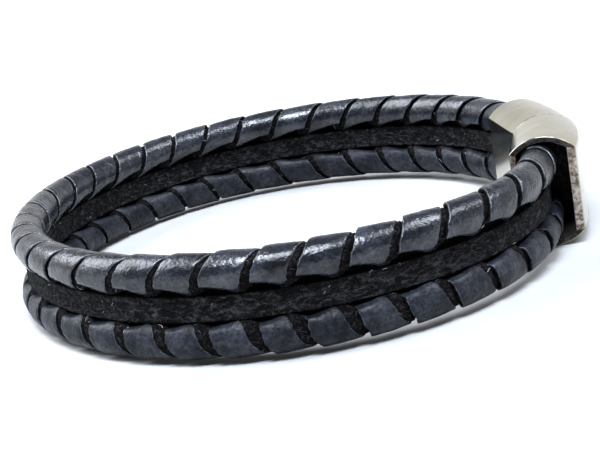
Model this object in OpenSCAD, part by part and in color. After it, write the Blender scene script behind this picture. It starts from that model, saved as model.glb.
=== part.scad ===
// A closed leather bracelet: a flat band with a lace-wrapped cord along each edge and a two-part
// steel clasp. It lies on its edge, as it would on a table, with the wrist opening facing up.

/* [Loop] */
// Radius of the rounded side on either side of the clasp, along the band's middle line
side_r = 29.5; // [27:0.5:32]
// Sweep of each rounded side, in degrees
side_sweep = 124; // [116:1:130]
// Lean of each clasp half away from a straight clasp, in degrees
clasp_lean = 9; // [7:0.5:11]

/* [Band] */
// Distance of each cord's middle from the band's middle plane
cord_rise = 3.5; // [3.4:0.05:3.6]
// Radius of the round core inside each cord
core_r = 1.2; // [1:0.05:1.25]
// Clearance between the core and the lace where they are furthest apart
core_clear = 0.2; // [0.18:0.01:0.25]
// Outer radius of the lace at the raised edge of each turn
lace_high_r = 2.25; // [2.1:0.05:2.3]
// Outer radius of the lace at the tucked edge of each turn
lace_low_r = 1.95; // [1.85:0.05:2]
// Turns of lace round each cord
lace_turns = 38; // [34:1:42]
// Open stretch of core between two turns, along the cord
lace_gap = 0.95; // [0.6:0.05:1.2]
// Where around the cord the lace starts at the band's far end: 0 faces out, 90 away from the strip
lace_start = 120; // [0:30:330]
// Thickness of the flat strip between the cords
strip_t = 2; // [1.6:0.1:2.2]
// Clearance between the strip's edges and the lace
strip_clear = 0.05; // [0.05:0.01:0.1]

/* [Clasp] */
// Length of each clasp half, from the seam to its mouth
half_l = 11.8; // [10:0.2:12]
// Width of the clasp, from its inner wall to its outer wall
clasp_w = 7.7; // [7.5:0.1:8.2]
// Height of the clasp from crown to crown
clasp_h = 13.2; // [13:0.1:13.8]
// Rise of each arched crown above the clasp's corners
arch_rise = 1.75; // [1.6:0.05:1.9]
// Distance that the clasp's middle lies outside the band's middle line
clasp_shift = 0.7; // [0.6:0.02:0.75]
// Thickness of the wall that faces away from the wrist
outer_wall = 1.1; // [0.9:0.05:1.3]
// Thickness of the wall that lies on the wrist
inner_wall = 0.8; // [0.6:0.05:0.85]
// Thickness of the arched walls
crown_wall = 0.65; // [0.5:0.05:0.65]
// Thickness of the closed end at the seam, along the half's middle
end_wall = 1.9; // [1.6:0.1:2.4]
// Gap between the two closed ends
seam_gap = 0.1; // [0.05:0.01:0.2]
// Clearance between the band's end and the closed end of its socket
end_clear = 0.2; // [0.1:0.05:0.3]

/* [Hidden] */
$fn = 180;

// The middle line of half the loop: an arc opposite the clasp, a tighter side arc, then a
// straight end inside the clasp. The far arc's radius is the one that closes the loop.
far_sweep = 180 - clasp_lean - side_sweep;
side_y = side_r * sin(clasp_lean) - half_l * cos(clasp_lean);
far_r = side_r - side_y / sin(far_sweep);
far_l = far_r * far_sweep * PI / 180;
side_l = side_r * side_sweep * PI / 180;
band_half = far_l + side_l + half_l - end_wall - end_clear;

// How far the stretches of the loop lap into each other, and the side arcs' extra fullness
lap = 0.5;
lap_turn = lap / far_r * 180 / PI;
lap_fuller = 0.01;

// The loop's reach to the left and right of the side arcs' centres, which centres it in X
far_dx = (far_r - side_r) * cos(far_sweep);
left_reach = far_r - far_dx + lace_high_r;
seam_dx = side_r * cos(clasp_lean) + half_l * sin(clasp_lean);
right_reach = seam_dx + (clasp_shift + clasp_w / 2) / cos(clasp_lean);
side_x = (left_reach - right_reach) / 2;
far_x = side_x + far_dx;
seam_x = side_x + seam_dx;

// The lace: its pitch leaves the same open stretch between all turns
lace_sections = 12;
section_turn = 360 / lace_sections;
lace_pitch = (2 * band_half + lace_gap) / (lace_turns + 1);
lace_w = lace_pitch - lace_gap;
lace_in_r = core_r + core_clear;
flat_ratio = cos(section_turn);
strip_half_h = cord_rise - lace_high_r * flat_ratio - strip_clear;

// The clasp's arched section
arch_r = (pow(clasp_w / 2, 2) + pow(arch_rise, 2)) / (2 * arch_rise);
arch_z = clasp_h / 2 - arch_r;

// The clasp is a little taller than the band, so the loop rests with a slight lean on the
// bottom of the clasp and the bottom of the cord opposite
rest_z = cord_rise + lace_high_r;
rest_x = side_x + (side_r + clasp_shift) * cos(clasp_lean);
far_rest_x = far_x - far_r;
rest_lean = asin((clasp_h / 2 - rest_z) / (rest_x - far_rest_x));
rest_lift = rest_z * cos(rest_lean) - far_rest_x * sin(rest_lean);

// Turn from the loop's far point to the spot at the given length along half the loop
function turned(a) =
    a < far_l ? a / far_r * 180 / PI :
    a < far_l + side_l ? far_sweep + (a - far_l) / side_r * 180 / PI :
    far_sweep + side_sweep;

// Direction that points out of the loop at signed length s, positive towards the near half
function outward(s) = 180 + sign(s) * turned(abs(s));

// Point of the middle line at signed length s from the loop's far point
function middle(s) =
    let (a = abs(s),
         g = 180 + turned(a),
         straight = max(0, a - far_l - side_l),
         on_far = [far_x + far_r * cos(g), far_r * sin(g)],
         on_side = [side_x + side_r * cos(g) - straight * sin(g),
                    side_y + side_r * sin(g) + straight * cos(g)],
         p = a < far_l ? on_far : on_side)
    [p.x, sign(s) * p.y];

// Point at radius r and angle around the upper cord, where 0 faces outwards and 90 faces up
function on_cord(s, r, around) =
    let (p = middle(s), g = outward(s), out = r * cos(around))
    [p.x + out * cos(g), p.y + out * sin(g), cord_rise + r * sin(around)];

// Outer radius at an angle around the cord: each turn is flattened where it passes the strip
function flattened(r, around) = (around + 90) % 360 == 0 ? r * flat_ratio : r;

// Section i of the lace: inner and outer corners of its raised edge, then of its tucked edge
function lace_section(i) =
    let (around = lace_start + section_turn * i,
         s = lace_pitch * i / lace_sections - band_half + lace_w / 2,
         raised = s - lace_w / 2,
         tucked = s + lace_w / 2)
    [on_cord(raised, lace_in_r, around),
     on_cord(raised, flattened(lace_high_r, around), around),
     on_cord(tucked, flattened(lace_low_r, around), around),
     on_cord(tucked, lace_in_r, around)];

// Sweeps a flat section along the band: x of the section points out of the loop, y points up.
// The side arcs are a hair fuller, and the other stretches lap into them, so that all are one.
module along_band() {
    $fuller = 0;
    translate([far_x, 0, 0])
        rotate([0, 0, 180 - far_sweep - lap_turn])
            rotate_extrude(angle = 2 * (far_sweep + lap_turn))
                translate([far_r, 0])
                    children();
    for (side = [0, 1])
        mirror([0, side, 0]) {
            translate([side_x, side_y, 0])
                rotate([0, 0, 180 + far_sweep])
                    rotate_extrude(angle = side_sweep)
                        translate([side_r, 0]) {
                            $fuller = lap_fuller;
                            children();
                        }
            along_half(half_l - end_wall - end_clear, past = lap)
                children();
        }
}

// Sweeps a flat section straight back from the near half's mouth over the given length, after
// standing it out of the mouth by the distance past
module along_half(length, past = 0) {
    translate([seam_x, 0, 0])
        rotate([0, 0, -clasp_lean])
            rotate([90, 0, 0])
                translate([0, 0, half_l - length])
                    linear_extrude(length + past)
                        children();
}

// Sets the loop down on the surface it rests on
module at_rest() {
    translate([0, 0, rest_lift])
        rotate([0, -rest_lean, 0])
            children();
}

// Outline with two flat walls and two arched crowns, of the given width and crown radius
module arched(w, shift, r) {
    intersection() {
        translate([clasp_shift + shift, 0])
            square([w, clasp_h], center = true);
        union()
            for (z = [-arch_z, arch_z])
                translate([clasp_shift, z])
                    circle(r);
    }
}

module core() {
    along_band()
        translate([0, cord_rise])
            circle(core_r + $fuller);
}

module lace() {
    last = lace_turns * lace_sections;
    points = [for (i = [0:last]) each lace_section(i)];
    walls = [for (i = [0:last - 1], c = [0:3])
                let (a = 4 * i + c, b = 4 * i + (c + 1) % 4)
                each [[a, b, b + 4], [a, b + 4, a + 4]]];
    first_end = [[2, 1, 0], [3, 2, 0]];
    last_end = [[4 * last, 4 * last + 1, 4 * last + 2], [4 * last, 4 * last + 2, 4 * last + 3]];
    polyhedron(points, concat(walls, first_end, last_end), convexity = 10);
}

module clasp_half() {
    difference() {
        intersection() {
            along_half(2 * half_l)
                arched(clasp_w, 0, arch_r);
            translate([0, -seam_gap / 2 - 2 * half_l, -clasp_h])
                cube([2 * seam_x, 2 * half_l, 2 * clasp_h]);
        }
        along_half(half_l - end_wall, past = 1)
            arched(clasp_w - outer_wall - inner_wall, (inner_wall - outer_wall) / 2,
                   arch_r - crown_wall);
    }
}

module centre_strip() {
    color("#3a3736")
        at_rest()
            along_band()
                square([strip_t + 2 * $fuller, 2 * (strip_half_h + $fuller)], center = true);
}

module upper_core() {
    color("#26262a")
        at_rest()
            core();
}

module lower_core() {
    color("#26262a")
        at_rest()
            mirror([0, 0, 1])
                core();
}

module upper_lace() {
    color("#5b616c")
        at_rest()
            lace();
}

module lower_lace() {
    color("#5b616c")
        at_rest()
            mirror([0, 0, 1])
                lace();
}

module clasp_near_half() {
    color("#c9c5bd")
        at_rest()
            clasp_half();
}

module clasp_far_half() {
    color("#c9c5bd")
        at_rest()
            mirror([0, 1, 0])
                clasp_half();
}

centre_strip();
upper_core();
lower_core();
upper_lace();
lower_lace();
clasp_near_half();
clasp_far_half();
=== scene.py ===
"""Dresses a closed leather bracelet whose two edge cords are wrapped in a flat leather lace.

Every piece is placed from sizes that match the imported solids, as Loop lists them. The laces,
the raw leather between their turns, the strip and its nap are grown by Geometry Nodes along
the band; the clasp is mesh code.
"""

import logging
import math
from dataclasses import dataclass, fields
from enum import Enum, IntEnum
from functools import partial
from typing import Any, Callable, Iterable, Sequence

import bmesh
import bpy
import numpy as np
from bpy.types import Material, Mesh, Node, NodeSocket, NodeTree, Object
from mathutils import Matrix, Vector


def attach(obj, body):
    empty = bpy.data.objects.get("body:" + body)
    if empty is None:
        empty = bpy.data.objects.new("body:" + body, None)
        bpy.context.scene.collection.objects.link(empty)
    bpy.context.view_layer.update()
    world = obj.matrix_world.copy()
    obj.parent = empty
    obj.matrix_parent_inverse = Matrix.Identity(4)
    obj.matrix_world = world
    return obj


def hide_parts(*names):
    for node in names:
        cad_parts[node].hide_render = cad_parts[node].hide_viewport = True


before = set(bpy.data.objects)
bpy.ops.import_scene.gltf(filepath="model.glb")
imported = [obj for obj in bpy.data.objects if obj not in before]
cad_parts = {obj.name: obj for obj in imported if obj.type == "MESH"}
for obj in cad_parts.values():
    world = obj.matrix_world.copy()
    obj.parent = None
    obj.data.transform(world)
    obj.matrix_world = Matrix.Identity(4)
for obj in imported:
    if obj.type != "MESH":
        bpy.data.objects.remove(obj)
log = logging.getLogger("bracelet")

Add = Callable[..., Any]
Points = Sequence[tuple[float, float]]

MM = 0.001
WHOLE_TURN = 2 * math.pi
SOCKETS = {float: "NodeSocketFloat", int: "NodeSocketInt", Vector: "NodeSocketVector",
           Object: "NodeSocketObject", Material: "NodeSocketMaterial"}


class Edge(Enum):
    """The band's two cords: each is the mirror image of the other."""

    UPPER = 1
    LOWER = -1


class Side(Enum):
    """The clasp's two halves, by the sign of their place along Y."""

    NEAR = -1
    FAR = 1


class Face(IntEnum):
    """The clasp's faces by their finish, in the order of its material slots."""

    POLISHED = 0
    SOCKET = 1
    MOUTH = 2


def feed(socket: NodeSocket, source: Any) -> None:
    """Gives one input what it takes.

    Args:
        socket: The input.
        source: A node or an output to link from, or a value.
    """
    if isinstance(source, Node):
        source = next(output for output in source.outputs if output.enabled)
    if isinstance(source, NodeSocket):
        socket.id_data.links.new(source, socket)
    else:
        socket.default_value = source


def set_stops(node: Any, stops: Sequence[tuple[float, Any]], handles: str) -> None:
    """Gives a colour ramp its stops, or a curve its points.

    Args:
        node: The ramp's or the curve's node.
        stops: Place and sRGB hex colour of each stop, or the two values of each point.
        handles: The kind of handles that a curve's points get.
    """
    ramp = hasattr(node, "color_ramp")
    points = node.color_ramp.elements if ramp else node.mapping.curves[0].points
    while len(points) < len(stops):
        points.new(*(1.0,) if ramp else (0.5, 0.5))
    for point, (place, value) in zip(points, stops):
        if ramp:
            point.position, point.color = place, linear(value)
        else:
            point.location, point.handle_type = (place, value), handles
    if not ramp:
        node.mapping.update()


def add_node(tree: NodeTree, kind: str, *sources: Any, stops: Sequence[tuple[float, Any]] = (),
             handles: str = "VECTOR", **named: Any) -> Any:
    """Adds a node with its settings and links.

    Args:
        tree: The node tree that gets the node.
        kind: Blender's name of its type, where ShaderNode may be left off. The operation of a
            math node follows a dot.
        *sources: What the inputs that it shows take, from the first on.
        stops: A ramp's stops or a curve's points, from left to right.
        handles: VECTOR for straight runs between a curve's points, AUTO for a smooth line.
        **named: Its settings, in small letters, and its inputs by name, with a capital and an
            underscore for a space.

    Returns:
        The new node.
    """
    kind, _, operation = kind.partition(".")
    node = tree.nodes.new(kind if "Node" in kind else "ShaderNode" + kind)
    if operation:
        node.operation = operation
    if stops:
        set_stops(node, stops, handles)
    for name in [name for name in named if name.islower()]:
        setattr(node, name, named.pop(name))
    shown = [place for place, socket in enumerate(node.inputs) if socket.enabled]
    for place, source in zip(shown, sources):
        feed(node.inputs[place], source)
    for name, source in named.items():
        feed(node.inputs[name.replace("_", " ")], source)
    return node


def linear(colour: str) -> tuple[float, ...]:
    """Turns an sRGB hex colour into the linear, opaque RGBA that shaders take."""
    parts = [int(colour[i : i + 2], 16) / 255 for i in (1, 3, 5)]
    return *(c / 12.92 if c <= 0.04045 else ((c + 0.055) / 1.055) ** 2.4 for c in parts), 1.0


def as_inputs(sizes: Any) -> dict[str, float]:
    """Names a tree's inputs for the numbers of a class: relief_size becomes Relief Size."""
    values = {f.name.replace("_", " ").title(): getattr(sizes, f.name) for f in fields(sizes)}
    return {name: value for name, value in values.items() if isinstance(value, (int, float))}


def link_object(name: str, data: Any) -> Object:
    """Puts new data into the scene as an object at the origin, and returns the object."""
    bpy.context.scene.collection.objects.link(made := bpy.data.objects.new(name, data))
    return made


def plain_mesh(carrier: Object, name: str) -> Mesh:
    """Turns an object and its live modifier into a plain mesh, and removes the object.

    Args:
        carrier: The object that carries the modifier.
        name: The new mesh's name.

    Returns:
        The mesh.
    """
    carrier.update_tag()
    bpy.context.view_layer.update()
    done = carrier.evaluated_get(bpy.context.evaluated_depsgraph_get())
    mesh = bpy.data.meshes.new_from_object(done)
    mesh.name = name
    bpy.data.objects.remove(carrier)
    return mesh


def dress(piece: Object, slot: str, *nodes: str) -> Object:
    """Makes a finished piece ride on the root body, hides the CAD nodes that it stands for, and logs it.

    Args:
        piece: The finished piece.
        slot: A material slot's name; not used.
        *nodes: The CAD nodes that it replaces.

    Returns:
        The same piece.
    """
    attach(piece, "root")
    if nodes:
        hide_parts(*nodes)
    count = sum(len(face.vertices) - 2 for face in piece.data.polygons)
    log.info("%s: %d triangles, stands for %s", piece.name, count, ", ".join(nodes) or "itself")
    return piece


@dataclass
class Loop:
    """The bracelet's middle line at rest, in metres, with the sizes that the solids have.

    A signed length s runs along the band from the point opposite the clasp: it grows along the
    front towards the near half and falls along the back towards the far half.
    """

    side_r: float = 29.5 * MM
    side_sweep: float = math.radians(124)
    clasp_lean: float = math.radians(9)
    half_l: float = 11.8 * MM
    cord_rise: float = 3.5 * MM
    lace_high_r: float = 2.25 * MM
    lace_gap: float = 0.95 * MM
    clasp_w: float = 7.7 * MM
    clasp_h: float = 13.2 * MM
    clasp_shift: float = 0.7 * MM
    end_room: float = 2.1 * MM
    path_step: float = 0.2 * MM

    def __post_init__(self) -> None:
        """Works out the flatter arc opposite the clasp, and how the loop stands and rests."""
        cos, sin = math.cos(self.clasp_lean), math.sin(self.clasp_lean)
        far_sweep = math.pi - self.clasp_lean - self.side_sweep
        self.side_y = self.side_r * sin - self.half_l * cos
        self.far_r = self.side_r - self.side_y / math.sin(far_sweep)

        # Lengths from the far point: half the flatter arc, all that is bent, half the band
        self.far_l = self.far_r * far_sweep
        self.bent_l = self.far_l + self.side_r * self.side_sweep
        self.band_half = self.bent_l + self.half_l - self.end_room

        # Places along X of the seam, from the side arcs' centres, and of the arcs' centres
        far_dx = (self.far_r - self.side_r) * math.cos(far_sweep)
        self.seam_dx = self.side_r * cos + self.half_l * sin
        right = self.seam_dx + (self.clasp_shift + self.clasp_w / 2) / cos
        self.side_x = (self.far_r - far_dx + self.lace_high_r - right) / 2
        self.far_x = self.side_x + far_dx

        # The loop leans about Y, as it rests on the taller clasp and on the cord opposite
        rest_x = self.side_x + (self.side_r + self.clasp_shift) * cos
        drop = self.clasp_h / 2 - self.cord_rise - self.lace_high_r
        self.lean = math.asin(drop / (rest_x - self.far_x + self.far_r))
        self.lift = ((self.cord_rise + self.lace_high_r) * math.cos(self.lean)
                     - (self.far_x - self.far_r) * math.sin(self.lean))
        self.up = Vector((-math.sin(self.lean), 0.0, math.cos(self.lean)))

    def at_rest(self, x: float, y: float, z: float) -> Vector:
        """Sets a point of the level loop, x towards the clasp and z up, down where it rests."""
        cos, sin = math.cos(self.lean), math.sin(self.lean)
        return Vector((x * cos - z * sin, y, x * sin + z * cos + self.lift))

    def on_band(self, s: float, height: float) -> Vector:
        """Finds a point of the middle line, or straight above or below it.

        Args:
            s: Signed length from the far point.
            height: Distance from the middle plane.

        Returns:
            The point at rest.
        """
        a = abs(s)
        side = min(max(a - self.far_l, 0.0), self.side_r * self.side_sweep)
        straight = max(a - self.bent_l, 0.0)
        g = math.pi + min(a, self.far_l) / self.far_r + side / self.side_r
        if a < self.far_l:
            x, y = self.far_x + self.far_r * math.cos(g), self.far_r * math.sin(g)
        else:
            x = self.side_x + self.side_r * math.cos(g) - straight * math.sin(g)
            y = self.side_y + self.side_r * math.sin(g) + straight * math.cos(g)
        return self.at_rest(x, math.copysign(1.0, s) * y, height)

    def path(self, name: str, height: float) -> Object:
        """Draws the middle line at a height, for the Geometry Nodes that follow it.

        Args:
            name: The curve object's name.
            height: Distance from the middle plane.

        Returns:
            A curve object that runs from seam to seam, growing in s.
        """
        half = self.bent_l + self.half_l
        spots = np.linspace(-half, half, 2 * round(half / self.path_step) + 1)
        curve = bpy.data.curves.new(name, "CURVE")
        curve.dimensions = "3D"
        spline = curve.splines.new("POLY")
        spline.points.add(len(spots) - 1)
        for point, s in zip(spline.points, spots):
            point.co = (*self.on_band(float(s), height), 1.0)
        return link_object(name, curve)


LOOP = Loop()


@dataclass(frozen=True)
class Finish:
    """What every finish has: the material's name, and a shader that its own nodes feed."""

    name: str

    def look(self, add: Add) -> dict[str, Any]:
        """Adds the finish's own nodes, and says what each of the shader's inputs takes."""
        raise NotImplementedError

    def material(self) -> Material:
        """Builds the material.

        Returns:
            The node material, which reads object coordinates or the piece's own attributes.
        """
        made = bpy.data.materials.new(self.name)
        made.use_nodes = True
        tree = made.node_tree
        for name, source in self.look(partial(add_node, tree)).items():
            feed(tree.nodes["Principled BSDF"].inputs[name], source)
        return made


@dataclass(frozen=True)
class LaceLeather(Finish):
    """Drum-dyed cowhide lace with a waxed finish.

    Reads as dark slate blue, mottled and satin. Its pebbled, hammered grain breaks each
    highlight into specks, the wax is worn off in patches, and each edge has a thin pale line,
    partly worn and partly a painted highlight where the rounded edge catches light.
    The finest grain is drawn coarser than it is, so that it shows.
    """

    base: str = "#171a21"
    worn: str = "#30333b"
    deep: str = "#0a0c10"
    edge: str = "#08090b"
    rubbed: str = "#484c53"
    mottle: float = 1.5 * MM
    patch: float = 0.42 * MM
    sweep: float = 4.5 * MM
    crease: float = 0.62 * MM
    crease_depth: float = 0.065 * MM
    pebble: float = 0.3 * MM
    pebble_depth: float = 0.03 * MM
    pore: float = 0.2 * MM
    pore_depth: float = 0.022 * MM
    roughness: float = 0.19
    wax: float = 0.75
    edge_roughness: float = 0.85
    edge_gloss: float = 0.1

    def look(self, add: Add) -> dict[str, Any]:
        """Adds the mottled dye, the cut edges, the grain and the patchy wax.

        Args:
            add: Adds a node to the material.

        Returns:
            What each of the shader's inputs takes.
        """
        place = add("TexCoord").outputs["Object"]
        cloud = add("TexNoise", place, 1 / self.mottle, Detail=5.0, Roughness=0.66)
        patch = add("TexNoise", place, 1 / self.patch, Detail=4.0, Roughness=0.7, Distortion=0.6)
        sweep = add("TexNoise", place, 1 / self.sweep)
        both = add("Mix", 0.3, add("Mix", 0.5, cloud, patch), sweep)
        dye = add("ValToRGB", both, stops=((0.4, self.deep), (0.5, self.base), (0.62, self.worn)))

        # The cut edges are dyed dark and raw; the shoulder just above them is painted pale, partly
        # worn and partly a painted highlight where the rounded edge catches light
        depth = add("Attribute", attribute_name="depth").outputs["Fac"]
        across = add("Attribute", attribute_name="across").outputs["Fac"]
        from_middle = add("Math.ABSOLUTE", add("Math.SUBTRACT", across, 0.5))
        shoulder = add("MapRange", from_middle, 0.47, 0.489)
        rubbed = add("Math.MULTIPLY", shoulder, add("MapRange", patch, 0.4, 0.6))
        colour = add("Mix", rubbed, dye, linear(self.rubbed), data_type="RGBA")
        cut = add("MapRange", depth, 0.16, 0.36)
        colour = add("Mix", cut, colour, linear(self.edge), data_type="RGBA")

        crease = add("TexNoise", place, 1 / self.crease, Detail=3.0, Distortion=0.6)
        pebble = add("TexVoronoi", place, 1 / self.pebble, feature="SMOOTH_F1")
        pore = add("TexNoise", place, 1 / self.pore, Detail=3.0, Roughness=0.7)
        relief = add("Bump", Distance=self.crease_depth, Height=crease)
        relief = add("Bump", Distance=self.pebble_depth, Height=pebble, Normal=relief)
        relief = add("Bump", Distance=self.pore_depth, Height=pore, Normal=relief)

        gloss = add("MapRange", cloud, 0.3, 0.7, self.roughness + 0.12, self.roughness - 0.06)
        wax = add("MapRange", both, 0.38, 0.62, self.wax / 3, self.wax)
        return {"Base Color": colour, "Normal": relief, "IOR": 1.5,
                "Roughness": add("Mix", cut, gloss, self.edge_roughness),
                "Specular IOR Level": add("Mix", cut, wax, self.edge_gloss)}


@dataclass(frozen=True)
class RawLeather(Finish):
    """Split cowhide, dyed through and left raw like suede.

    Reads as rough charcoal: a matted, wavy nap of pale flecks over black hollows, without gloss.
    Its fibres are drawn coarser than they are, so that they show. The nap is stretched along the
    band, where the piece carries its place on it. Above a given height it is painted dark: painted
    shade in the slit under the lace.
    """

    base: str = "#19181b"
    light: str = "#49464c"
    deep: str = "#050506"
    fibre: float = 0.24 * MM
    fibre_depth: float = 0.15 * MM
    tuft: float = 0.8 * MM
    tuft_depth: float = 0.4 * MM
    matted: float = 0.4
    lie: float = 0.65
    groove: float = 0.0
    groove_fade: float = 0.1 * MM
    follows: bool = True

    def look(self, add: Add) -> dict[str, Any]:
        """Adds the nap's colour and relief.

        Args:
            add: Adds a node to the material.

        Returns:
            What each of the shader's inputs takes.
        """
        if self.follows:
            place = add("Attribute", attribute_name="on_band").outputs["Vector"]
            place = add("Mapping", place, Scale=(self.lie, 1.0, 1.0))
        else:
            place = add("TexCoord").outputs["Object"]
        nap = add("TexNoise", place, 1 / self.fibre, Detail=4.0, Roughness=0.7, Distortion=1.6)
        tuft = add("TexNoise", place, 1 / self.tuft, Detail=4.0, Roughness=0.6, Distortion=1.8)
        colour = add("ValToRGB", add("Mix", self.matted, nap, tuft),
                     stops=((0.43, self.deep), (0.51, self.base), (0.62, self.light)))
        # Painted shade: above the slit's height the leather turns to the deep colour, as the slit under
        # the lace is in shade
        if self.groove:
            height = add("Math.ABSOLUTE", add("SeparateXYZ", place).outputs["Y"])
            dark = add("MapRange", height, self.groove, self.groove + self.groove_fade)
            colour = add("Mix", dark, colour, linear(self.deep), data_type="RGBA")
        relief = add("Bump", Distance=self.tuft_depth, Height=tuft)
        relief = add("Bump", Distance=self.fibre_depth, Height=nap, Normal=relief)
        return {"Base Color": colour, "Normal": relief, "Roughness": 0.95, "Specular IOR Level": 0.1}


@dataclass(frozen=True)
class NapFibre(Finish):
    """Loose collagen fibres of raw leather, drawn thicker than they are, so that they show.

    Reads as dull grey hairs that stand off the nap.
    """

    light: str = "#38353b"
    dark: str = "#17161a"
    change: float = 0.8 * MM

    def look(self, add: Add) -> dict[str, Any]:
        """Adds the hairs' change of shade from spot to spot."""
        shade = add("TexNoise", add("TexCoord").outputs["Object"], 1 / self.change)
        return {"Roughness": 0.8,
                "Base Color": add("ValToRGB", shade, stops=((0.35, self.dark), (0.7, self.light)))}


@dataclass(frozen=True)
class PolishedSteel(Finish):
    """Cast stainless steel, mirror polished, whose cream colour is a painted warm reflection.

    Reads as a bright warm mirror with faint haze, a cream tint that mottles faintly at random
    and the fine scratches of wear, which are drawn coarser than they are, so that they show.
    """

    clean: str = "#bbb8ad"
    bloom: str = "#b8b4a5"
    stain: str = "#b4ae9a"
    cloud: float = 4.5 * MM
    scratch: float = 0.12 * MM
    scratch_depth: float = 0.0012 * MM
    roughness: float = 0.13

    def look(self, add: Add) -> dict[str, Any]:
        """Adds the haze, the stains and the scratches, which run up the clasp.

        Args:
            add: Adds a node to the material.

        Returns:
            What each of the shader's inputs takes.
        """
        place = add("TexCoord").outputs["Object"]
        haze = add("TexNoise", place, 1 / self.cloud, Detail=2.5, Distortion=0.5)
        # The steel's cream colour is a painted reflection of warm surroundings; it mottles faintly at
        # random
        colour = add("ValToRGB", haze, stops=((0.36, self.clean), (0.5, self.bloom), (0.64, self.stain)))
        gloss = add("MapRange", haze, 0.3, 0.7, self.roughness - 0.02, self.roughness + 0.05)
        scratch = add("TexNoise", add("Mapping", place, Scale=(1.0, 1.0, 0.06)), 1 / self.scratch)
        relief = add("Bump", Strength=0.12, Distance=self.scratch_depth, Height=scratch)
        return {"Base Color": colour, "Roughness": gloss, "Normal": relief, "Metallic": 1.0}


@dataclass(frozen=True)
class CastSteel(Finish):
    """The same steel where it was not polished: in the sockets, or on the mouth's cut face.

    Reads as dull, with patches of dried glue in the sockets. On the mouth's cut face its brown
    patches are painted reflections of the surroundings.
    """

    bare: str
    smear: str
    roughness: float
    patch: float = 0.6 * MM
    sand: float = 0.15 * MM
    sand_depth: float = 0.03 * MM

    def look(self, add: Add) -> dict[str, Any]:
        """Adds the smears and the cast steel's sandy relief.

        Args:
            add: Adds a node to the material.

        Returns:
            What each of the shader's inputs takes.
        """
        place = add("TexCoord").outputs["Object"]
        smear = add("TexNoise", place, 1 / self.patch, Detail=5.0, Distortion=0.8)
        # The patches are dried glue in the sockets; on the mouth's cut face they are painted reflections
        colour = add("ValToRGB", smear, stops=((0.38, self.smear), (0.62, self.bare)))
        sand = add("TexNoise", place, 1 / self.sand)
        relief = add("Bump", Strength=0.8, Distance=self.sand_depth, Height=sand)
        return {"Base Color": colour, "Normal": relief, "Metallic": 0.7, "Roughness": self.roughness}


@dataclass(frozen=True)
class StudioPaper(Finish):
    """Matt pale grey background paper: an even ground with no gloss."""

    light: str = "#b2b2b2"
    dark: str = "#aeaeae"
    pulp: float = 4 * MM

    def look(self, add: Add) -> dict[str, Any]:
        """Adds the paper's faint mottling."""
        shade = add("TexNoise", add("TexCoord").outputs["Object"], 1 / self.pulp)
        return {"Roughness": 1.0, "Specular IOR Level": 0.0,
                "Base Color": add("ValToRGB", shade, stops=((0.3, self.dark), (0.7, self.light)))}


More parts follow.
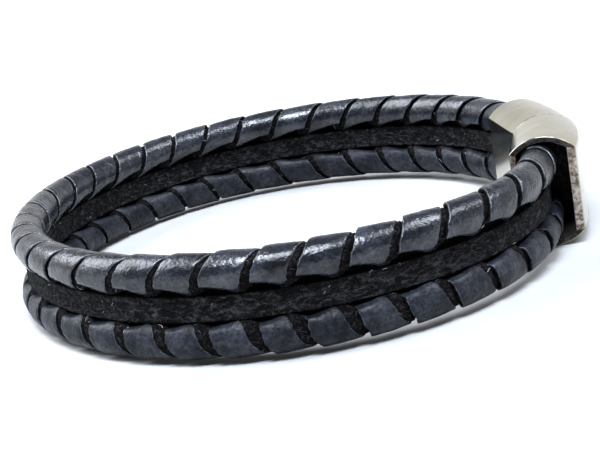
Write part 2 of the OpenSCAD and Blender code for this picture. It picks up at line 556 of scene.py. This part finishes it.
@dataclass
class Grower:
    """A Geometry Nodes tree with one named input for each size, which grows one plain mesh."""

    name: str
    inputs: dict[str, Any]

    def __post_init__(self) -> None:
        """Starts the tree and its inputs."""
        self.tree: NodeTree = bpy.data.node_groups.new(self.name, "GeometryNodeTree")
        new_socket = self.tree.interface.new_socket
        new_socket("Geometry", in_out="OUTPUT", socket_type="NodeSocketGeometry")
        for label, value in self.inputs.items():
            new_socket(label, in_out="INPUT", socket_type=SOCKETS[type(value)])
        self.add: Add = partial(add_node, self.tree)
        self.size: Any = self.add("NodeGroupInput").outputs

    def tube(self, section: Iterable[Iterable[float]], rings: Any) -> tuple[Any, Any, list]:
        """Adds a closed tube whose points aren't placed yet.

        Args:
            section: Two values from 0 to 1 for each point of the tube's section.
            rings: Node or output of the number of steps along it.

        Returns:
            The nodes of the tube, of each point's ring and of its two values.
        """
        add, columns = self.add, list(zip(*section))
        count = len(columns[0])
        tube = add("GeometryNodeMeshCylinder", Vertices=count, Side_Segments=rings, fill_type="NGON")
        index = add("GeometryNodeInputIndex")
        ring = add("Math.FLOOR", add("Math.DIVIDE", index, float(count)))
        corner = add("Math.DIVIDE", add("Math.MODULO", index, float(count)), float(count))
        values = [add("FloatCurve", Value=corner, stops=[
            (i / count, v) for i, v in enumerate((*column, column[0]))]) for column in columns]
        return tube, ring, values

    def lay(self, tube: Any, length: Any, out: Any, rise: Any, **marks: Any) -> Any:
        """Adds the nodes that lay a tube along the path, mark it and dent it along its normals.

        Args:
            tube: Node of the tube.
            length: Node of each point's length along the path.
            out: Node of its distance outwards.
            rise: Node of its distance upwards.
            **marks: The node of each attribute that the material reads.

        Returns:
            The node of the dented shape.
        """
        add, size = self.add, self.size
        path = add("GeometryNodeObjectInfo", size["Path"]).outputs["Geometry"]
        spot = add("GeometryNodeSampleCurve", path, Length=length, mode="LENGTH", use_all_curves=True)
        outward = add("VectorMath.CROSS_PRODUCT", spot.outputs["Tangent"], size["Up"])
        outward = add("VectorMath.NORMALIZE", outward)
        point = add("VectorMath.MULTIPLY_ADD", outward, out, spot.outputs["Position"])
        point = add("VectorMath.MULTIPLY_ADD", size["Up"], rise, point)
        shape = add("GeometryNodeSetPosition", tube, Position=point)
        for name, value in marks.items():
            kind = "FLOAT_VECTOR" if value.outputs[0].type == "VECTOR" else "FLOAT"
            shape = add("GeometryNodeStoreNamedAttribute", shape, Name=name, Value=value,
                        data_type=kind, domain="POINT")
        finer = add("Math.DIVIDE", 1.0, size["Relief Size"])
        dent = add("TexNoise", add("GeometryNodeInputPosition"), finer, Detail=3.0, Roughness=0.6)
        dent = add("Math.MULTIPLY", add("Math.SUBTRACT", dent, 0.5), size["Relief"])
        push = add("VectorMath.SCALE", add("GeometryNodeInputNormal"), dent)
        return add("GeometryNodeSetPosition", shape, Offset=push)

    def grow(self, geometry: Any, piece: str) -> Object:
        """Ends the tree in Realize Instances and Set Material, and runs it once.

        Args:
            geometry: Node of the whole shape.
            piece: The new piece's name.

        Returns:
            The piece, a plain mesh without a modifier.
        """
        real = self.add("GeometryNodeRealizeInstances", geometry)
        smooth = self.add("GeometryNodeSetShadeSmooth", real)
        dressed = self.add("GeometryNodeSetMaterial", smooth, Material=self.size["Material"])
        self.add("NodeGroupOutput", dressed)
        carrier = link_object(piece + "_carrier", bpy.data.meshes.new(piece + "_carrier"))
        modifier = carrier.modifiers.new(self.name, "NODES")
        modifier.node_group = self.tree
        for item in self.tree.interface.items_tree:
            if item.in_out == "INPUT":
                modifier[item.identifier] = self.inputs[item.name]
        mesh = plain_mesh(carrier, piece)
        shell = bmesh.new()
        shell.from_mesh(mesh)
        bmesh.ops.recalc_face_normals(shell, faces=shell.faces)
        shell.to_mesh(mesh)
        shell.free()
        return link_object(piece, mesh)


@dataclass(frozen=True)
class Spacing:
    """Where the turns of lace lie along one cord, as uneven as winding left them.

    A turn number t counts turns from the far end, so it also says where around the cord a spot
    is. The line between two turns lies at boundary(t), and the raw gap is centred on it. The
    tables run over the turns, warp and opening once around the cord. drift is in millimetres.
    """

    gap: Points
    least_looseness: float
    seed: float
    last_turn: float = 39.0
    start_turn: float = 120 / 360
    widest_gap: float = 2.0 * MM
    least_gap: float = 0.26 * MM
    gap_change: float = 1.2 * MM
    drift_reach: float = 6.0 * MM
    waver: float = 0.26 * MM
    wavers: float = 3.4
    drift: Points = (
        (0.0, -0.3), (3.1, -0.37), (4.1, 0.1), (5.1, -0.07), (7.1, -0.42), (11.5, 0.3),
        (16.0, 1.05), (17.0, 1.15), (18.0, 1.78), (19.0, 2.55), (22.7, 2.75), (24.7, 2.85),
        (25.7, 2.77), (26.7, 2.42), (27.7, 1.79), (28.7, 1.39), (29.7, 0.52), (30.7, 0.13),
        (31.7, -0.36), (32.7, -0.4), (33.7, -0.21), (34.7, -0.03), (35.7, 0.62), (39.0, 0.5))
    looseness: Points = (
        (0.0, 0.55), (8.0, 0.5), (14.0, 0.35), (17.0, 0.2), (22.0, 0.25), (24.5, 0.75),
        (26.5, 0.4), (29.0, 0.1), (36.0, 0.15), (39.0, 0.3))
    warp: Points = (
        (0.0, 0.0), (0.06, -0.06), (0.278, -0.138), (0.444, -0.079), (0.75, 0.03),
        (0.94, 0.06), (1.0, 0.0))
    opening: Points = (
        (0.0, 0.2), (0.083, 0.02), (0.15, -0.18), (0.22, -0.36), (0.3, -0.46), (0.38, -0.42),
        (0.46, -0.16), (0.52, 0.0), (0.7, 0.35), (0.85, 0.5), (0.93, 0.36), (1.0, 0.2))

    def inputs(self) -> dict[str, float]:
        """Gives the named inputs that the boundary's nodes read."""
        pitch = (2 * LOOP.band_half + LOOP.lace_gap) / self.last_turn
        return as_inputs(self) | {"Pitch": pitch, "First Boundary": LOOP.end_room - LOOP.lace_gap / 2}

    def over_turns(self, table: Points) -> Points:
        """Turns a table over turn numbers into one over the share of all turns."""
        return [(turn / self.last_turn, value) for turn, value in table]

    def boundary(self, grower: Grower, turn: Any) -> tuple[Any, Any]:
        """Adds the nodes that find the boundary before a turn, and half the gap there.

        Args:
            grower: The tree, with this spacing's inputs.
            turn: Node of the turn number.

        Returns:
            The nodes of the boundary's length along the cord and of half the gap.
        """
        add, size = grower.add, grower.size
        share = add("Math.DIVIDE", turn, size["Last Turn"])
        around = add("Math.FRACT", add("Math.ADD", turn, size["Start Turn"]))
        below = add("Math.FRACT", add("Math.ADD", around, 0.25))
        drift = [(t, 0.5 + v * MM / self.drift_reach) for t, v in self.drift]
        drift, loose, even = (
            add("FloatCurve", Value=share, stops=self.over_turns(table), handles="AUTO")
            for table in (drift, self.looseness, self.gap))
        warp = add("FloatCurve", Value=below, stops=[(u, 0.5 + v) for u, v in self.warp])
        opening = add("FloatCurve", Value=around, handles="AUTO",
                      stops=[(u, 0.5 + v / 2) for u, v in self.opening])

        warp = add("Math.ADD", add("Math.SUBTRACT", warp, 0.5), turn)
        place = add("Math.MULTIPLY_ADD", warp, size["Pitch"], size["First Boundary"])
        drift = add("Math.SUBTRACT", drift, 0.5)
        place = add("Math.MULTIPLY_ADD", drift, size["Drift Reach"], place)

        # Winding is not quite steady: each turn is a little early or late, wide or narrow
        shake = add("Math.ADD", turn, size["Seed"])
        shake = add("TexNoise", shake, size["Wavers"], Detail=3.0, Roughness=0.6,
                    noise_dimensions="1D")
        shake = add("Math.SUBTRACT", shake, 0.5)
        place = add("Math.MULTIPLY_ADD", shake, size["Waver"], place)

        loose = add("Math.MAXIMUM", loose, size["Least Looseness"])
        opening = add("Math.MULTIPLY", add("Math.SUBTRACT", opening, 0.5), loose)
        change = add("Math.MULTIPLY", opening, size["Gap Change"])
        even = add("Math.MULTIPLY", even, size["Widest Gap"])
        gap = add("Math.MULTIPLY_ADD", change, 2.0, even)
        gap = add("Math.MULTIPLY_ADD", shake, size["Waver"], gap)
        gap = add("Math.MAXIMUM", gap, size["Least Gap"])
        return place, add("Math.MULTIPLY", gap, 0.5)


SPACING = {
    Edge.UPPER: Spacing(seed=4.7, least_looseness=0.0, gap=(
        (0.0, 0.46), (14.0, 0.46), (18.0, 0.5), (23.0, 0.48), (26.0, 0.46), (39.0, 0.44))),
    Edge.LOWER: Spacing(seed=2.7, least_looseness=0.6, gap=(
        (0.0, 0.47), (20.0, 0.5), (23.0, 0.62), (28.0, 0.62), (31.0, 0.56), (34.0, 0.42),
        (39.0, 0.38)))}


@dataclass
class LaceWrap:
    """A ribbon wound round a cord: the lace, with rounded, knife-cut edges.

    Its left edge follows the boundary before its own turn, or a later one, and its right edge
    another. left_side and right_side say which side of the boundary's gap each edge is on. The
    section gives the share across the ribbon and into its thickness, once round, lift how far
    it stands proud across it, and step how much of that lift each turn has.
    """

    name: str = "lace_wrap"
    turns: int = 38
    steps: int = 52
    left_turn: float = 0.0
    left_side: float = 1.0
    right_turn: float = 1.0
    right_side: float = -1.0
    overlap: float = 0.0
    fray: float = 0.36 * MM
    nicks: float = 21.0
    raised_radius: float = 2.28 * MM
    tucked_radius: float = 1.98 * MM
    raised_flat: float = 0.9 * MM
    tucked_flat: float = 2.3 * MM
    droop: float = 2.2
    least_slant: float = 0.2
    tongue: float = 0.22 * MM
    softness: float = 0.24 * MM
    thickness: float = 0.46 * MM
    relief: float = 0.15 * MM
    relief_size: float = 1.5 * MM
    section: Points = (
        (0.0, 0.38), (0.004, 0.14), (0.011, 0.04),
        *((v, 0.0) for v in (0.024, 0.12, 0.23, 0.33, 0.43, 0.53, 0.63, 0.73, 0.82, 0.89)),
        (0.94, 0.01), (0.972, 0.04), (0.992, 0.14), (1.0, 0.4), (1.0, 0.74), (0.985, 0.93),
        *((v, 1.0) for v in (0.95, 0.85, 0.74, 0.63, 0.52, 0.41, 0.3, 0.2, 0.12, 0.06)),
        (0.02, 0.97), (0.003, 0.86), (0.0, 0.64))
    lift: Points = ((0.0, 0.96), (0.05, 1.0), (0.25, 0.92), (0.6, 0.6), (0.85, 0.25), (1.0, 0.0))
    step: Points = ((0.0, 0.6), (11.0, 0.45), (15.0, 0.1), (22.0, 0.1), (26.0, 0.75),
                   (31.0, 0.75), (34.0, 0.35), (39.0, 0.25))

    def wound(self, edge: Edge, path: Object, finish: Material) -> Object:
        """Winds the ribbon round one cord.

        Args:
            edge: Which cord.
            path: Curve along the cord's middle.
            finish: The ribbon's material.

        Returns:
            The finished piece.
        """
        spacing = SPACING[edge]
        grower = Grower(self.name, spacing.inputs() | as_inputs(self) | {
            "Path": path, "Up": LOOP.up, "Mirror": float(edge.value), "Material": finish})
        add, size = grower.add, grower.size
        rings = add("Math.MULTIPLY", size["Turns"], size["Steps"])
        tube, ring, (across, depth) = grower.tube(self.section, rings)
        turn = add("Math.DIVIDE", ring, size["Steps"])
        around = add("Math.ADD", turn, size["Start Turn"])
        around = add("Math.MULTIPLY", around, WHOLE_TURN)
        cos, sin = add("Math.COSINE", around), add("Math.SINE", around)

        # Each edge keeps to its side of the gap, and is nicked as the knife left it
        edges = []
        for label, outward in (("Left", -1.0), ("Right", 1.0)):
            own = add("Math.ADD", turn, size[label + " Turn"])
            place, half_gap = spacing.boundary(grower, own)
            place = add("Math.MULTIPLY_ADD", half_gap, size[label + " Side"], place)
            nick = add("TexNoise", own, add("Math.ADD", size["Nicks"], outward), noise_dimensions="1D")
            nick = add("Math.SUBTRACT", nick, 0.5)
            place = add("Math.MULTIPLY_ADD", nick, size["Fray"], place)
            edges.append(add("Math.MULTIPLY_ADD", size["Overlap"], outward, place))
        length = add("MapRange", across, 0.0, 1.0, *edges)

        # Round on the outside, flattened where the ribbon passes the strip between the cords
        lift = add("FloatCurve", Value=across, stops=self.lift)
        share = add("Math.DIVIDE", turn, size["Last Turn"])
        step = add("FloatCurve", Value=share, stops=spacing.over_turns(self.step), handles="AUTO")
        lift = add("Math.MULTIPLY_ADD", add("Math.SUBTRACT", lift, 0.5), step, 0.5)
        round_r = add("MapRange", lift, 0.0, 1.0, size["Tucked Radius"], size["Raised Radius"])
        droop = add("Math.POWER", across, size["Droop"])
        flat = add("MapRange", droop, 0.0, 1.0, size["Raised Flat"], size["Tucked Flat"])
        towards = add("Math.MAXIMUM", add("Math.MULTIPLY", sin, -1.0), size["Least Slant"])
        fill = add("Math.MULTIPLY", towards, towards)
        round_r = add("Math.MULTIPLY_ADD", fill, size["Tongue"], round_r)
        flat_r = add("Math.DIVIDE", flat, towards)
        radius = add("Math.SMOOTH_MIN", round_r, flat_r, size["Softness"])
        wall = add("Math.MULTIPLY", size["Thickness"], -1.0)
        radius = add("Math.MULTIPLY_ADD", depth, wall, radius)

        out = add("Math.MULTIPLY", radius, cos)
        rise = add("Math.MULTIPLY", add("Math.MULTIPLY", radius, sin), size["Mirror"])
        girth = add("Math.MULTIPLY", around, size["Raised Radius"])
        shape = grower.lay(tube, length, out, rise, depth=depth, across=across,
                           on_band=add("CombineXYZ", length, girth, radius))
        return grower.grow(shape, f"{edge.name.lower()}_{self.name}")


@dataclass
class GapWelt(LaceWrap):
    """The raw leather that shows between the turns, wound like the lace that leaves it bare.

    It swells nearly flush with the lace, falls into a crack on its right and runs into the
    strip between the cords.
    """

    name: str = "raw_gap_welt"
    turns: int = 37
    steps: int = 64
    left_turn: float = 1.0
    left_side: float = -1.0
    right_side: float = 1.0
    overlap: float = 0.5 * MM
    fray: float = 0.0
    raised_radius: float = 1.84 * MM
    tucked_radius: float = 1.42 * MM
    raised_flat: float = 2.3 * MM
    tucked_flat: float = 1.3 * MM
    tongue: float = 0.5 * MM
    thickness: float = 0.5 * MM
    relief: float = 0.24 * MM
    relief_size: float = 0.42 * MM
    section: Points = (
        (0.0, 0.5), (0.0, 0.15), *((v / 100, 0.0) for v in range(6, 95, 8)), (1.0, 0.15),
        (1.0, 0.5), (1.0, 1.0), (0.75, 1.0), (0.5, 1.0), (0.0, 1.0))
    lift: Points = ((0.0, 0.6), (0.28, 0.9), (0.42, 1.0), (0.54, 0.8), (0.64, 0.3), (0.72, 0.0),
                   (1.0, 0.0))


@dataclass
class Strip:
    """The flat strip between the cords, whose thin web runs up into each cord."""

    half_t: float = 1.03 * MM
    rim_h: float = 1.4 * MM
    web_t: float = 0.28 * MM
    web_h: float = 2.36 * MM
    relief: float = 0.3 * MM
    relief_size: float = 0.85 * MM
    step: float = 0.18 * MM

    def section(self) -> Points:
        """Gives the strip's section, once round from its outer face.

        Returns:
            Out and height of each point.
        """
        # The flat face, the softly rounded rim above it, and the web that leaves the rim
        face = [(self.half_t, self.rim_h * 0.93 * k / 7) for k in range(-7, 8)]
        rim = [(self.half_t * 0.96, self.rim_h), (self.half_t * 0.7, self.rim_h * 1.02),
               (self.web_t, self.rim_h * 1.03), (self.web_t, self.web_h)]
        top = rim + [(-x, z) for x, z in reversed(rim)]
        return face + top + [(-x, -z) for x, z in face + top]

    def made(self, path: Object, finish: Material) -> Object:
        """Builds the strip along the band.

        Args:
            path: Curve along the band's middle.
            finish: The strip's material.

        Returns:
            The finished piece.
        """
        section = self.section()
        reach = max(abs(v) for point in section for v in point)
        grower = Grower("centre_strip_along_band", {
            "Path": path, "Rings": round(2 * LOOP.band_half / self.step),
            "Length": 2 * LOOP.band_half, "Start Length": LOOP.end_room, "Reach": reach,
            "Relief": self.relief, "Relief Size": self.relief_size, "Up": LOOP.up,
            "Material": finish})
        add, size = grower.add, grower.size
        tube, ring, shares = grower.tube(
            ((0.5 + v / (2 * reach) for v in point) for point in section), size["Rings"])
        share = add("Math.DIVIDE", ring, size["Rings"])
        length = add("Math.MULTIPLY_ADD", share, size["Length"], size["Start Length"])
        low = add("Math.MULTIPLY", size["Reach"], -1.0)
        out, rise = (add("MapRange", v, 0.0, 1.0, low, size["Reach"]) for v in shares)
        shape = grower.lay(tube, length, out, rise, on_band=add("CombineXYZ", length, rise, out))
        return grower.grow(shape, "suede_strip")


@dataclass
class Nap:
    """Loose fibres on the raw leather: short bent hairs that lie mostly along the band.

    They grow only where the leather faces less steeply up or down than steepest says.
    """

    density: float = 0.9e6
    hair_length: float = 0.5 * MM
    hair_radius: float = 0.018 * MM
    shortest: float = 0.45
    longest: float = 1.35
    seed: int = 11
    steepest: float = 0.5
    swing: tuple[float, ...] = (0.5, 0.25, 1.1)

    def grown(self, ground: Object, name: str, finish: Material) -> Object:
        """Scatters the hairs over a piece.

        Args:
            ground: The raw leather piece.
            name: The new piece's name.
            finish: The hairs' material.

        Returns:
            The finished piece.
        """
        grower = Grower("nap_hairs", as_inputs(self) | {"Ground": ground, "Up": LOOP.up,
                                                        "Material": finish})
        add, size = grower.add, grower.size
        leather = add("GeometryNodeObjectInfo", size["Ground"]).outputs["Geometry"]
        steep = add("VectorMath.DOT_PRODUCT", add("GeometryNodeInputNormal"), size["Up"])
        open_side = add("Math.LESS_THAN", add("Math.ABSOLUTE", steep), size["Steepest"])
        spots = add("GeometryNodeDistributePointsOnFaces", leather, open_side,
                    size["Density"], size["Seed"])
        normal = spots.outputs["Normal"]

        # A hair is a bent line, one long, with three sides
        line = add("GeometryNodeCurveQuadraticBezier", Resolution=4, Start=(-0.5, 0.0, -0.05),
                   Middle=(0.05, 0.2, 0.16), End=(0.5, -0.06, 0.02))
        thin = add("Math.DIVIDE", size["Hair Radius"], size["Hair Length"])
        ring = add("GeometryNodeCurvePrimitiveCircle", Resolution=3, Radius=thin)
        hair = add("GeometryNodeCurveToMesh", line, ring, Fill_Caps=True)

        # It lies along the band, swung a little each way, and no two are equally long
        along = add("VectorMath.CROSS_PRODUCT", size["Up"], normal)
        lay = add("FunctionNodeAlignRotationToVector", Vector=along, axis="X")
        stand = add("FunctionNodeAlignRotationToVector", lay, Vector=normal, axis="Z", pivot_axis="X")
        swing = add("FunctionNodeRandomValue", [-v for v in self.swing], self.swing,
                    Seed=size["Seed"], data_type="FLOAT_VECTOR")
        turned = add("FunctionNodeRotateRotation", stand, swing, rotation_space="LOCAL")
        grow = add("FunctionNodeRandomValue", size["Shortest"], size["Longest"],
                   Seed=size["Seed"], data_type="FLOAT")
        long = add("Math.MULTIPLY", grow, size["Hair Length"])
        hairs = add("GeometryNodeInstanceOnPoints", spots, Instance=hair, Rotation=turned, Scale=long)
        return grower.grow(hairs, name)


@dataclass
class ClaspHalf:
    """One half of the magnetic clasp: an arched steel sleeve, closed where the halves meet.

    The rounds are the shares of the rounding that the seam, the mouth's two rims, the walls'
    inner corners and their outer corners get.
    """

    side: Side
    arch_rise: float = 1.75 * MM
    outer_wall: float = 1.1 * MM
    inner_wall: float = 0.8 * MM
    crown_wall: float = 0.65 * MM
    end_wall: float = 1.9 * MM
    lip: float = 0.25 * MM
    seam_gap: float = 0.1 * MM
    bow: float = 0.46 * MM
    rounding: float = 0.3 * MM
    seam_round: float = 0.06
    mouth_round: float = 0.26
    socket_round: float = 0.25
    inner_round: float = 0.4
    outer_round: float = 1.0
    sharp_from: float = math.radians(32)
    arc_steps: int = 28
    wall_steps: int = 6
    length_steps: int = 8
    round_steps: int = 3

    @property
    def arch_r(self) -> float:
        """Radius of the arched crowns."""
        return ((LOOP.clasp_w / 2) ** 2 + self.arch_rise**2) / (2 * self.arch_rise)

    def outline(self, low_x: float, high_x: float, radius: float) -> Points:
        """Gives an arched outline, once round.

        Args:
            low_x: Place of the wall next to the wrist.
            high_x: Place of the outer wall.
            radius: Radius of the crowns.

        Returns:
            Out and height of each point.
        """
        centre_z = LOOP.clasp_h / 2 - self.arch_r
        start, stop = math.asin(high_x / radius), math.asin(low_x / radius)
        turns = [start + (stop - start) * k / self.arc_steps for k in range(self.arc_steps + 1)]
        crown = [(radius * math.sin(a), centre_z + radius * math.cos(a)) for a in turns]
        inner, outer = ([(x, z - 2 * z * k / self.wall_steps) for k in range(1, self.wall_steps)]
                        for x, z in ((low_x, crown[-1][1]), (high_x, -crown[0][1])))
        return crown + inner + [(x, -z) for x, z in reversed(crown)] + outer

    def placed(self, out: float, height: float, length: float) -> Vector:
        """Places a point of the half.

        Args:
            out: Distance outwards from the clasp's own middle.
            height: Distance from the middle plane.
            length: Distance from the seam towards the mouth. The seam crosses the half
                aslant, and the outer wall is bowed so that both halves make one curve.

        Returns:
            The point at rest.
        """
        part = length / LOOP.half_l
        bow = 4 * self.bow * part * (1 - part) * (0.5 + out / LOOP.clasp_w)
        x = LOOP.clasp_shift + out + bow
        cos, sin = math.cos(LOOP.clasp_lean), math.sin(LOOP.clasp_lean)
        length += (1 - part) * (self.seam_gap / 2 - x * sin) / cos
        along_x = LOOP.side_x + LOOP.seam_dx + x * cos - length * sin
        along_y = x * sin + length * cos
        return LOOP.at_rest(along_x, self.side.value * along_y, height)

    def made(self, *finishes: Material) -> Object:
        """Builds the half, with its rims and corners softly rounded.

        Args:
            *finishes: The materials of its faces, in the order of Face.

        Returns:
            The finished piece.
        """
        half_w, full = LOOP.clasp_w / 2, LOOP.half_l
        outer = self.outline(-half_w, half_w, self.arch_r)
        inner = self.outline(-half_w + self.inner_wall, half_w - self.outer_wall,
                             self.arch_r - self.crown_wall)
        steps = [full * k / self.length_steps for k in range(1, self.length_steps)]
        loops = [(outer, 0.0, self.seam_round, Face.POLISHED),
                 *((outer, length, 0.0, Face.POLISHED)
                   for length in (self.rounding, *steps, full - self.rounding)),
                 (outer, full, self.mouth_round, Face.MOUTH),
                 (inner, full, self.socket_round, Face.POLISHED),
                 (inner, full - self.lip, 0.0, Face.SOCKET),
                 (inner, self.end_wall, 0.0, Face.SOCKET)]
        shell = bmesh.new()
        weight = shell.edges.layers.float.new("bevel_weight_edge")
        rings = [[shell.verts.new(self.placed(x, z, length)) for x, z in shape]
                 for shape, length, _, _ in loops]

        # A face's first edge lies on its ring, and its last one runs along the clasp
        count, low_crown = len(outer), self.arc_steps + self.wall_steps
        corners = {0: self.outer_round, self.arc_steps: self.inner_round,
                   low_crown: self.inner_round, low_crown + self.arc_steps: self.outer_round}
        for one, other, (shape, _, share, finish) in zip(rings, rings[1:], loops):
            for k in range(count):
                n = (k + 1) % count
                face = shell.faces.new((one[k], one[n], other[n], other[k]))
                on_crown = k % low_crown < self.arc_steps
                face.material_index = Face.SOCKET if finish == Face.MOUTH and on_crown else finish
                face.edges[0][weight] = share
                if k in corners and shape is outer and finish == Face.POLISHED:
                    face.edges[3][weight] = corners[k]
        shell.faces.new(rings[0])
        shell.faces.new(rings[-1]).material_index = Face.SOCKET
        bmesh.ops.recalc_face_normals(shell, faces=shell.faces)
        name = f"steel_clasp_{self.side.name.lower()}_half"
        mesh = bpy.data.meshes.new(name + "_unrounded")
        shell.to_mesh(mesh)
        shell.free()
        for finish in finishes:
            mesh.materials.append(finish)
        rough = link_object(name + "_unrounded", mesh)
        rounder = rough.modifiers.new("rim_rounding", "BEVEL")
        rounder.limit_method = "WEIGHT"
        rounder.width = self.rounding
        rounder.segments = self.round_steps
        rounder.material = Face.POLISHED
        rounded = plain_mesh(rough, name)
        rounded.shade_smooth()
        rounded.set_sharp_from_angle(angle=self.sharp_from)
        return link_object(name, rounded)


@dataclass
class Studio:
    """A pale floor, soft lights and the camera, which looks at the middle of the loop."""

    floor_half: float = 0.62
    floor_drop: float = 0.03 * MM
    aim_height: float = 6 * MM
    front_room: float = 0.12
    focal_px: float = 1532.6
    frame_w: int = 600
    sensor_w: float = 36.0
    distance: float = 190.702 * MM
    elevation: float = 0.24844
    azimuth: float = 0.05485
    roll: float = -0.15731
    shift_x: float = -0.00085
    shift_y: float = -0.01232
    clip: tuple[float, float] = (0.01, 20.0)

    def floor(self) -> None:
        """Lays the floor just under the loop."""
        half = self.floor_half
        mesh = bpy.data.meshes.new("studio_floor")
        mesh.from_pydata([(x * half, y * half, -self.floor_drop) for x, y in
                          ((-1, -1), (1, -1), (1, 1), (-1, 1))], [], [(0, 1, 2, 3)])
        mesh.materials.append(StudioPaper("background_paper").material())
        link_object("studio_floor", mesh)

    def lights(self) -> None:
        """Hangs the soft boxes, which point at the loop, and sets up the surroundings.

        The room is pale near the floor, behind and beside the loop, and dim above and in front.
        """
        for name, place, (width, height), power, colour in (
                ("overhead_box", (0.03, -0.49, 1.1), (0.6, 0.36), 31.0, "#eaf3ff"),
                ("left_box", (-0.8, 0.22, 0.84), (1.0, 0.85), 27.0, "#f2f7ff"),
                ("right_box", (0.72, 0.12, 0.94), (0.4, 0.4), 9.0, "#f2f7ff")):
            lamp = bpy.data.lights.new(name, "AREA")
            lamp.shape = "RECTANGLE"
            lamp.size, lamp.size_y, lamp.energy = width, height, power
            lamp.color = linear(colour)[:3]
            box = link_object(name, lamp)
            box.location = place
            way = Vector((0, 0, self.aim_height)) - box.location
            box.rotation_euler = way.to_track_quat("-Z", "Y").to_euler()
        world = bpy.data.worlds.new("studio_surroundings")
        world.use_nodes = True
        add = partial(add_node, world.node_tree)
        axes = add("SeparateXYZ", add("TexCoord").outputs["Generated"]).outputs
        ground = world.node_tree.nodes["Background"].inputs
        feed(ground["Color"], add("ValToRGB", axes["Z"], stops=(
            (0.0, "#ffffff"), (0.3, "#fafafa"), (0.5, "#7f8184"), (1.0, "#7f8184"))))
        feed(ground["Strength"], add("MapRange", axes["Y"], -0.7, 0.0, self.front_room, 1.0))
        bpy.context.scene.world = world
        bpy.context.scene.view_settings.view_transform = "Standard"

    def camera(self) -> None:
        """Sets up the camera at the photograph's angle, with its slight roll."""
        back = Vector((0, -math.cos(self.elevation), math.sin(self.elevation)))
        right = Vector((1, 0, 0))
        ahead = (-back + right * self.shift_x + right.cross(-back) * self.shift_y).normalized()
        level = ahead.cross(Vector((0, 0, 1))).normalized()
        above = level.cross(ahead)
        right = level * math.cos(self.roll) + above * math.sin(self.roll)
        above = above * math.cos(self.roll) - level * math.sin(self.roll)
        turn = Matrix.Rotation(self.azimuth, 3, "Z")
        axes = Matrix((turn @ right, turn @ above, turn @ -ahead)).transposed()
        data = bpy.data.cameras.new("camera")
        data.sensor_width = self.sensor_w
        data.lens = self.focal_px / self.frame_w * self.sensor_w
        data.clip_start, data.clip_end = self.clip
        camera = link_object("camera", data)
        camera.matrix_world = Matrix.Translation(
            turn @ (back * self.distance) + Vector((0, 0, LOOP.lift))) @ axes.to_4x4()
        bpy.context.scene.camera = camera


def main() -> None:
    """Builds the pieces in order and reports each one."""
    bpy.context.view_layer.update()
    studio = Studio()
    studio.camera()
    studio.lights()
    studio.floor()

    # Above 1.3 mm the strip's leather is painted dark, as shade in the slit under the lace
    raw_finish = RawLeather("raw_split_leather", "#141415", "#424245", "#040405",
                            fibre=0.22 * MM, matted=0.48, lie=0.46, groove=1.3 * MM).material()
    # The leather between the lace's turns is a near-black copy of the raw leather: painted shade in the
    # gaps
    gap_shaded_finish = RawLeather("raw_gap_leather", "#060506", "#302d31", "#010101").material()
    core_finish = RawLeather("raw_core_leather", follows=False).material()
    hair_finish = NapFibre("leather_nap_fibre").material()
    gap_hair_finish = NapFibre("gap_nap_fibre", "#545056", "#161518").material()
    lint_finish = NapFibre("pale_lint", "#b4b1ac", "#77746f").material()
    steel = PolishedSteel("polished_stainless_steel").material()
    socket = CastSteel("as_cast_socket_steel", "#4a4541", "#1c1715", 0.6).material()
    # The mouth's cut face gets brown patches: painted reflections of the surroundings
    rim = CastSteel("cut_rim_steel", "#bbb0a3", "#5f5148", 0.34).material()

    # The upper lace was pressed harder against the strip, and kept its wax
    laces = {Edge.UPPER: (LaceWrap(), LaceLeather("waxed_lace_leather")),
             Edge.LOWER: (LaceWrap(raised_flat=1.5 * MM, tongue=0.08 * MM),
                          LaceLeather("worn_lace_leather", roughness=0.4, wax=0.3))}
    gap_nap = Nap(steepest=2.0)
    gap_lint = Nap(9e4, hair_length=0.7 * MM, hair_radius=0.032 * MM, seed=8, steepest=2.0)
    for edge, (lace, lace_finish) in laces.items():
        name = edge.name.lower()
        path = LOOP.path(f"{name}_cord_path", edge.value * LOOP.cord_rise)
        dress(lace.wound(edge, path, lace_finish.material()), "lace_leather", f"{name}_lace")
        welt = dress(GapWelt().wound(edge, path, gap_shaded_finish), "raw_leather")
        dress(gap_nap.grown(welt, f"{name}_gap_nap", gap_hair_finish), "raw_leather")
        dress(gap_lint.grown(welt, f"{name}_gap_lint", lint_finish), "raw_leather")
        bpy.data.objects.remove(path)
        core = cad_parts[f"{name}_core"]
        core.data.materials.clear()
        core.data.materials.append(core_finish)
        log.info("%s_core: kept from the CAD, in raw leather", name)

    path = LOOP.path("band_path", 0.0)
    strip = dress(Strip().made(path, raw_finish), "raw_leather", "centre_strip")
    bpy.data.objects.remove(path)
    lint = Nap(4.5e4, hair_length=0.42 * MM, hair_radius=0.03 * MM, seed=5)
    dress(Nap().grown(strip, "strip_nap", hair_finish), "raw_leather")
    dress(lint.grown(strip, "strip_lint", lint_finish), "raw_leather")
    for side in Side:
        half = ClaspHalf(side).made(steel, socket, rim)
        dress(half, "polished_steel", f"clasp_{side.name.lower()}_half")


if __name__ == "__main__":
    logging.basicConfig(level=logging.INFO, format="%(name)s: %(message)s")
    main()
